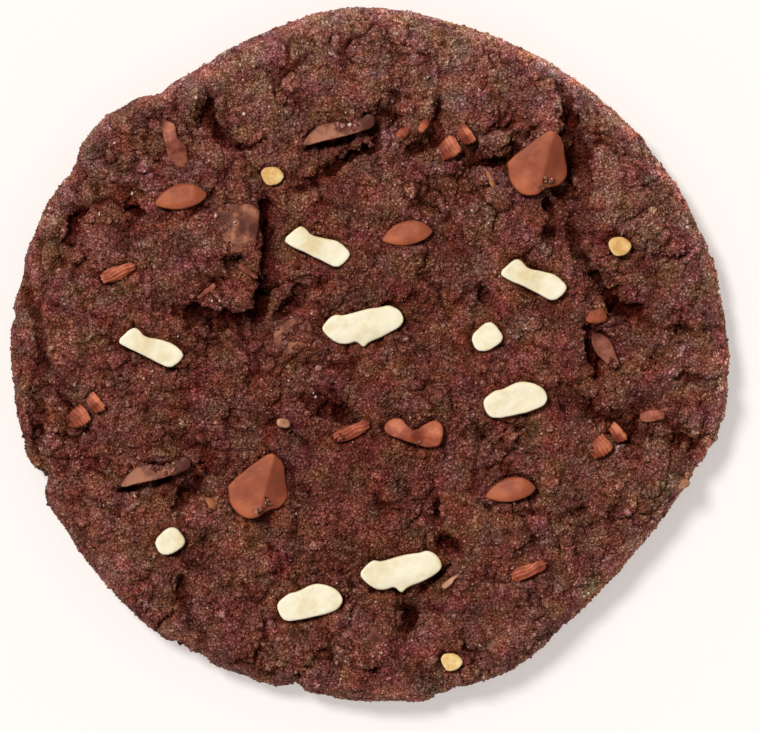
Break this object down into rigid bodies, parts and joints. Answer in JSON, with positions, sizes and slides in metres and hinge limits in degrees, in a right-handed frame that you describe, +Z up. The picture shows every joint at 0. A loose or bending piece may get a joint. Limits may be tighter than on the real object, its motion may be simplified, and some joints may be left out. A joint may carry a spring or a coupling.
{
  "type": "cookie",
  "caption": "Round soft chocolate cookie with a cracked crumbly top and pieces of white, milk and dark chocolate in it.",
  "frame": {"origin": "middle of the flat foot, under the centre of the cookie's bounding box", "axes": "+Z up out of the cookie's top, +X to the right and +Y to the top of the view from above"},
  "size_m": [0.0926, 0.0895, 0.0127],
  "materials": {
    "dough": "rough baked crumb",
    "white": "soft satin",
    "gold": "dry, matte",
    "milk": "satin",
    "milk_pale": "satin",
    "red": "matte",
    "amber": "matte",
    "tan": "matte",
    "dark": "satin",
    "dark_red": "satin"
  },
  "bodies": {
    "root": {"Dough": "dough", "White_stick_upper": "white", "White_stick_right": "white", "White_stick_left": "white", "White_oval_middle": "white", "White_oval_right": "white", "White_oval_front": "white", "White_oval_front_left": "white", "White_dot_right": "white", "White_dot_left": "white", "Gold_bit_upper": "gold", "Gold_bit_right": "gold", "Gold_bit_front": "gold", "Milk_lens_left": "milk", "Milk_lens_upper": "milk", "Milk_lens_right": "milk", "Milk_oval_left": "milk_pale", "Milk_oval_middle": "milk_pale", "Milk_oval_front": "milk_pale", "Red_sliver": "red", "Chip_upper_a": "milk_pale", "Chip_upper_b": "milk_pale", "Chip_middle_left": "tan", "Chip_lower_left": "amber", "Chip_upper_right": "amber", "Chip_front": "tan", "Chip_right_small": "milk", "Chip_right_red": "red", "Chip_edge": "tan", "Dark_pebble": "dark", "Milk_chunk_back": "milk", "Milk_chunk_front": "milk", "Dark_wedge_back": "dark", "Dark_wedge_left": "dark", "Dark_block": "dark", "Dark_block_front": "dark", "Dark_shard": "dark_red", "Milk_boat": "milk_pale", "Milk_cube_back_a": "milk_pale", "Milk_cube_back_b": "milk_pale", "Milk_cube_left_a": "milk_pale", "Milk_cube_left_b": "milk_pale", "Milk_cube_right_a": "milk_pale", "Milk_cube_right_b": "milk_pale"}
  },
  "joints": []
}
